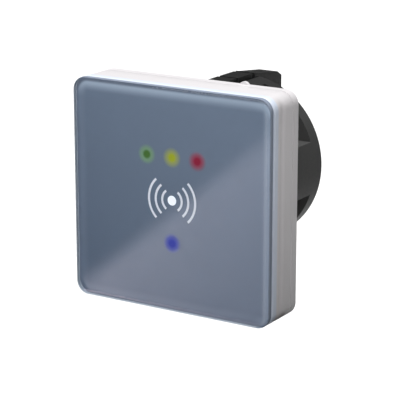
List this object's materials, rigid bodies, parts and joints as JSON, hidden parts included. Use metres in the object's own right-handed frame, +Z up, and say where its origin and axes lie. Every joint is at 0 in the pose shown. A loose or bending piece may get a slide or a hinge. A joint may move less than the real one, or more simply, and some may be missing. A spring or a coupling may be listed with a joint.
{
  "type": "rfid card reader",
  "caption": "Flush-mounted card reader: square glass front with signal lights on a white housing, and a round black wall can with spreading claws.",
  "frame": {"origin": "on the axis of the wall can, in the plane where the base plate meets the wall", "axes": "+Y along the can into the wall, +Z up, the glass faces -Y, +X to the right seen from the room"},
  "size_m": [0.08, 0.0723, 0.081],
  "materials": {
    "front_glass": "polished, rounded edges",
    "black_bond": "matte foam",
    "mask_print": "printed blue-grey film",
    "white_housing": "fine satin moulded",
    "light_green": "clear tinted",
    "light_yellow": "clear tinted",
    "light_red": "clear tinted",
    "light_blue": "clear tinted",
    "led_package": "moulded",
    "circuit_board": "solder mask",
    "copper": "etched copper",
    "chip_black": "moulded",
    "can_aluminium": "drawn",
    "gilt_brass": "gilt",
    "zinc_steel": "zinc plated",
    "black_can": "fine moulded",
    "black_claw": "glass-filled moulded",
    "black_rubber": "matte",
    "terminal_green": "moulded",
    "nut_brass": "turned"
  },
  "bodies": {
    "wall_can": {"base_plate": "white_housing", "back_can": "black_can", "can_screws": "zinc_steel", "cable_grommet": "black_rubber", "terminal_board": "circuit_board", "terminal_board_screws": "zinc_steel", "socket_strip": "chip_black", "terminal_header": "terminal_green", "claw_pins": "zinc_steel"},
    "front_unit": {"front_glass": "front_glass", "glass_bond": "black_bond", "printed_mask": "mask_print", "front_shell": "white_housing", "light_pipe_green": "light_green", "light_pipe_yellow": "light_yellow", "light_pipe_red": "light_red", "light_pipe_blue": "light_blue", "status_leds": "led_package", "main_board": "circuit_board", "antenna_coil": "copper", "reader_chip": "chip_black", "controller_chip": "chip_black", "crystal": "zinc_steel", "buzzer": "chip_black", "capacitors": "can_aluminium", "pin_header": "chip_black", "header_pins": "gilt_brass", "board_screws": "zinc_steel"},
    "lock_screw": {"lock_screw": "zinc_steel"},
    "terminal_plug": {"terminal_plug": "terminal_green", "terminal_screws": "zinc_steel"},
    "claw_screw_top": {"claw_screw_top": "zinc_steel"},
    "wedge_nut_top": {"wedge_nut_top": "nut_brass"},
    "claw_top": {"claw_top": "black_claw"},
    "claw_screw_bottom": {"claw_screw_bottom": "zinc_steel"},
    "wedge_nut_bottom": {"wedge_nut_bottom": "nut_brass"},
    "claw_bottom": {"claw_bottom": "black_claw"}
  },
  "joints": [
    {"name": "front_release", "type": "slide", "parent": "wall_can", "child": "front_unit", "axis": [0, -1, 0], "range_m": [0, 0.03]},
    {"name": "lock_screw_drive", "type": "slide", "parent": "front_unit", "child": "lock_screw", "axis": [0, 0, 1], "range_m": [0, 0.0015]},
    {"name": "terminal_release", "type": "slide", "parent": "wall_can", "child": "terminal_plug", "axis": [0, 1, 0], "range_m": [0, 0.008]},
    {"name": "claw_screw_turn_top", "type": "hinge", "parent": "wall_can", "child": "claw_screw_top", "pos_m": [0, 0, 0.0216], "axis": [0, 1, 0], "range_deg": [0, 2885]},
    {"name": "wedge_travel_top", "type": "slide", "parent": "wall_can", "child": "wedge_nut_top", "axis": [0, -1, 0], "range_m": [0, 0.01]},
    {"name": "claw_spread_top", "type": "hinge", "parent": "wall_can", "child": "claw_top", "pos_m": [0, 0.005, 0.027], "axis": [1, 0, 0], "range_deg": [0, 6.9]},
    {"name": "claw_screw_turn_bottom", "type": "hinge", "parent": "wall_can", "child": "claw_screw_bottom", "pos_m": [0, 0, -0.0216], "axis": [0, 1, 0], "range_deg": [0, 2885]},
    {"name": "wedge_travel_bottom", "type": "slide", "parent": "wall_can", "child": "wedge_nut_bottom", "axis": [0, -1, 0], "range_m": [0, 0.01]},
    {"name": "claw_spread_bottom", "type": "hinge", "parent": "wall_can", "child": "claw_bottom", "pos_m": [0, 0.005, -0.027], "axis": [-1, 0, 0], "range_deg": [0, 6.9]}
  ],
  "couplings": [
    {"joint": "claw_screw_turn_top", "follows": "wedge_travel_top", "rad_per_m": 5026.5},
    {"joint": "claw_spread_top", "follows": "wedge_travel_top", "rad_per_m": 12},
    {"joint": "claw_screw_turn_bottom", "follows": "wedge_travel_bottom", "rad_per_m": 5026.5},
    {"joint": "claw_spread_bottom", "follows": "wedge_travel_bottom", "rad_per_m": 12}
  ]
}
